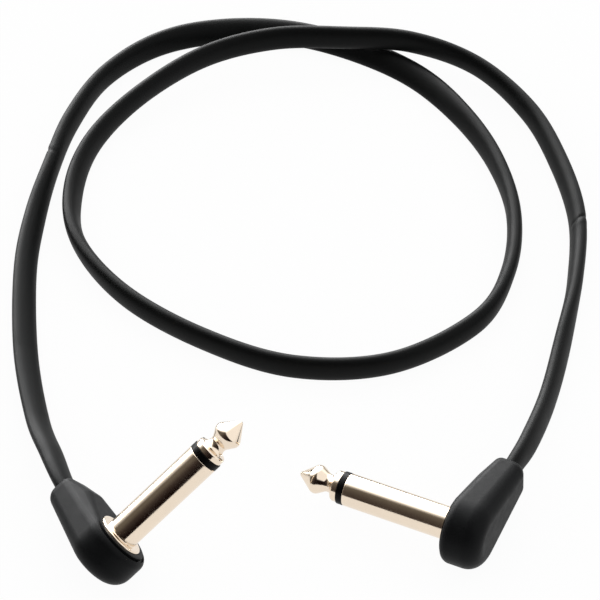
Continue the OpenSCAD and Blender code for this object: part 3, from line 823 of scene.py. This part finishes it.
# Where the camera and the softbox are and what the softbox faces, in metres
CAMERA_AT, CAMERA_TILT = (0.0023, -0.3530, 0.4316), 44.0
SOFTBOX_AT, SOFTBOX_FACES, SOFTBOX_SIZE = (0.08, 0.70, 0.62), (0.0, 0.07, 0.0), (0.5, 0.35)
TABLE_HALF = 3.0
# Share of its own white with which the table is seen and mirrored
TABLE_GLOW = 0.95

# The dark room that shiny surfaces mirror: where it is darkest, and its colours by the
# cosine of the angle to that place
ROOM_DARKEST = (0.2, -0.97, 0.1)
ROOM_COLOURS = ((0.2, "#676158"), (0.6, "#3d3430"), (0.95, "#150a08"))
# Round patches of light in that room: middle, cosine of the angle at the rim and at the
# core, the setting that makes them bright, and their share of it
SKY_PATCHES = (
    # light wall on the right
    ((0.838, -0.069, 0.541), 0.64, 0.72, "bright", 0.4),
    # white ceiling
    ((-0.234, 0.748, 0.621), 0.49, 0.99, "bright", 1.0),
    # white backdrop
    ((-0.144, 0.854, 0.5), 0.51, 0.82, "bright", 1.0),
    # window in the backdrop
    ((-0.421, 0.857, 0.298), 0.79, 0.89, "window", 1.0),
)


def grey(level):
    return (level, level, level, 1.0)


def studio_world(scene):
    """Even sky light; shiny surfaces mirror a window, a white side and a dark room."""
    look = scene.cable_studio
    world = bpy.data.worlds.new("Studio")
    scene.world = world
    world.use_nodes = True
    tree = world.node_tree
    tree.nodes.clear()
    path = add_node(tree, "ShaderNodeLightPath").outputs
    spot = add_node(tree, "ShaderNodeTexCoord").outputs["Generated"]

    def towards(middle):
        """Cosine of the angle between a direction and the middle of a patch."""
        return add_node(tree, "ShaderNodeVectorMath", {0: spot, 1: middle},
                        operation="DOT_PRODUCT").outputs["Value"]

    room = add_node(tree, "ShaderNodeValToRGB", {"Fac": towards(ROOM_DARKEST)})
    stops = room.color_ramp.elements
    stops.new(0.5)
    for stop, (place, tone) in zip(stops, ROOM_COLOURS):
        stop.position, stop.color = place, linear(tone)
    shiny = room.outputs["Color"]
    for middle, rim, core, setting, share in SKY_PATCHES:
        inside = add_node(tree, "ShaderNodeMapRange",
                          {"Value": towards(middle), "From Min": rim, "From Max": core},
                          interpolation_type="SMOOTHSTEP").outputs[0]
        shiny = mixed(tree, inside, shiny, grey(share * getattr(look, setting)))
    seen = joined(tree, "MAXIMUM", path["Is Camera Ray"], path["Is Transmission Ray"])
    plain = mixed(tree, seen, grey(look.level), grey(1.0))
    light = mixed(tree, path["Is Glossy Ray"], plain, shiny)
    back = add_node(tree, "ShaderNodeBackground", {"Color": light})
    add_node(tree, "ShaderNodeOutputWorld", {"Surface": back.outputs[0]})


def floor_material(look):
    """White studio table: matt, and shown white with only a trace of shadow."""
    material, tree = blank_material("White studio table")
    path = add_node(tree, "ShaderNodeLightPath").outputs
    direct = joined(tree, "MAXIMUM", path["Is Camera Ray"], path["Is Glossy Ray"])
    shown = joined(tree, "MAXIMUM", direct, path["Is Transmission Ray"])
    share = joined(tree, "MULTIPLY", shown, TABLE_GLOW)
    matt = add_node(tree, "ShaderNodeBsdfDiffuse", {"Color": list(look.floor) + [1.0]})
    glow = add_node(tree, "ShaderNodeEmission", {"Color": grey(1.0), "Strength": 1.0})
    finish_material(tree, add_node(tree, "ShaderNodeMixShader",
                                   {0: share, 1: matt.outputs[0], 2: glow.outputs[0]}))
    return material


# ------------------------------------------------------------------ operators

class CABLE_OT_studio(bpy.types.Operator):
    """Makes the camera, the table, the sky light and the softbox"""
    bl_idname = "cable.studio"
    bl_label = "Studio"

    def execute(self, context):
        scene = context.scene
        look = scene.cable_studio
        lens = bpy.data.cameras.new("Camera")
        lens.lens, lens.sensor_width = look.focal, 36.0
        lens.clip_start, lens.clip_end = 0.01, 20.0
        camera = object_of("Camera", lens)
        camera.location = CAMERA_AT
        camera.rotation_euler = (math.radians(CAMERA_TILT), 0.0, 0.0)
        scene.camera = camera

        bm = bmesh.new()
        bmesh.ops.create_grid(bm, x_segments=8, y_segments=8, size=TABLE_HALF)
        mesh = bpy.data.meshes.new("Table")
        bm.to_mesh(mesh)
        bm.free()
        mesh.materials.append(floor_material(look))
        object_of("Table", mesh)

        lamp = bpy.data.lights.new("Softbox", "AREA")
        lamp.shape, lamp.energy = "RECTANGLE", look.softbox
        lamp.size, lamp.size_y = SOFTBOX_SIZE
        softbox = object_of("Softbox", lamp)
        softbox.location = SOFTBOX_AT
        softbox.rotation_euler = (Vector(SOFTBOX_FACES) - softbox.location).to_track_quat(
            "-Z", "Y").to_euler()
        studio_world(scene)
        scene.view_settings.view_transform = "Standard"
        return {"FINISHED"}


class CABLE_OT_cord(bpy.types.Operator):
    """Makes the free oval cord and the ends of its jacket in the housings"""
    bl_idname = "cable.cord"
    bl_label = "Cord"

    def execute(self, context):
        scene = context.scene
        look = scene.cable_cord
        material = jacket_material(look)
        middle, wide, stops = cord_path(scene)
        cord = swept_cord("oval_cord", look, middle, wide, material)
        for fold in CREASES:
            crease(cord.data, middle, stops, fold)
        smoothed(cord.data, 50)
        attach(cord, BODY)
        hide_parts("cord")
        mouth = plug_frame(scene, "left") @ Vector(
            (0, scene.cable_housing.long, heights(scene)["cord"]))

        h = scene.cable_housing
        for side in SIDES:
            mesh = oval_prism(f"{side}_jacket", look.width, look.thickness, look.squareness,
                              h.block_l, h.long - look.tuck, heights(scene)["cord"], 44)
            straight = mesh.attributes.new("straight", "FLOAT_VECTOR", "POINT")
            straight.data.foreach_set("vector", [
                value for v in mesh.vertices
                for value in (v.co.x, v.co.z - heights(scene)["cord"], v.co.y)])
            mesh.transform(plug_frame(scene, side))
            mesh.materials.append(material)
            smoothed(mesh, 50)
            piece = object_of(f"{side}_jacket", mesh)
            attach(piece, BODY)
            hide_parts(f"{side}_jacket_end")
        return {"FINISHED"}


class CABLE_OT_housings(bpy.types.Operator):
    """Makes the two moulded housings"""
    bl_idname = "cable.housings"
    bl_label = "Housings"

    def execute(self, context):
        scene = context.scene
        material = moulded_material(scene.cable_housing)
        shape = housing_mesh(scene, "housing")
        for side in SIDES:
            mesh = shape.copy()
            mesh.name = f"{side}_moulding"
            mesh.transform(plug_frame(scene, side))
            mesh.materials.clear()
            mesh.materials.append(material)
            smoothed(mesh)
            piece = object_of(f"{side}_moulding", mesh)
            weigh = piece.modifiers.new("Even faces", "WEIGHTED_NORMAL")
            weigh.keep_sharp = True
            weigh.weight = 50
            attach(piece, BODY)
            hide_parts(f"{side}_housing")
        bpy.data.meshes.remove(shape)
        return {"FINISHED"}


class CABLE_OT_contacts(bpy.types.Operator):
    """Turns the barrels, the insulating rings and the tips"""
    bl_idname = "cable.contacts"
    bl_label = "Contacts"

    def execute(self, context):
        scene = context.scene
        c, z = scene.cable_contacts, heights(scene)
        nickel, nylon = nickel_material(c), nylon_material(c)
        kinds = (
            ("sleeve", "barrel", held(barrel_profile(c, z), looped=True), True, nickel,
             "nickel"),
            ("ring", "tip_ring", held(ring_profile(c, z, scene.cable_plugs.fit),
                                      looped=True), True, nylon, "black_nylon"),
            ("point", "tip", held(tip_profile(c, z)), False, nickel, "nickel"),
        )
        for side in SIDES:
            for name, node, profile, looped, material, finish in kinds:
                mesh = lathe_mesh(f"{side}_{name}", profile, 128, looped)
                mesh.transform(plug_frame(scene, side))
                mesh.materials.append(material)
                smoothed(mesh)
                piece = object_of(f"{side}_{name}", mesh)
                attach(piece, BODY)
                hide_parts(f"{side}_{node}")
        return {"FINISHED"}


class CABLE_OT_inner_pieces(bpy.types.Operator):
    """Gives the pieces inside the plugs their finishes"""
    bl_idname = "cable.inner_pieces"
    bl_label = "Inner pieces"

    def execute(self, context):
        finishes = {name: inner_material(name) for name in INNER_FINISHES}
        for side in SIDES:
            for piece, finish in INNER_PIECES.items():
                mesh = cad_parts[f"{side}_{piece}"].data
                mesh.materials.clear()
                mesh.materials.append(finishes[finish])
        return {"FINISHED"}


class CABLE_PT_panel(bpy.types.Panel):
    """Lists the cable's sizes, colours and makers"""
    bl_idname = "CABLE_PT_panel"
    bl_label = "Flat Instrument Cable"
    bl_space_type = "VIEW_3D"
    bl_region_type = "UI"
    bl_category = "Cable"

    def draw(self, context):
        for name, group in GROUPS.items():
            box = self.layout.box()
            for key in group.__annotations__:
                box.prop(getattr(context.scene, name), key)
        for maker in MAKERS:
            self.layout.operator(maker.bl_idname)


GROUPS = {"cable_cord": CordLook, "cable_plugs": PlugLook, "cable_housing": HousingLook,
          "cable_contacts": ContactLook, "cable_studio": StudioLook}
MAKERS = (CABLE_OT_studio, CABLE_OT_cord, CABLE_OT_housings, CABLE_OT_contacts,
          CABLE_OT_inner_pieces)


def register():
    for kind in (*GROUPS.values(), *MAKERS, CABLE_PT_panel):
        bpy.utils.register_class(kind)
    for name, group in GROUPS.items():
        setattr(bpy.types.Scene, name, PointerProperty(type=group))


def unregister():
    for name in GROUPS:
        delattr(bpy.types.Scene, name)
    for kind in reversed((*GROUPS.values(), *MAKERS, CABLE_PT_panel)):
        bpy.utils.unregister_class(kind)


def main():
    register()
    bpy.ops.cable.studio()
    bpy.ops.cable.cord()
    bpy.ops.cable.housings()
    bpy.ops.cable.contacts()
    bpy.ops.cable.inner_pieces()


if __name__ == "__main__":
    main()
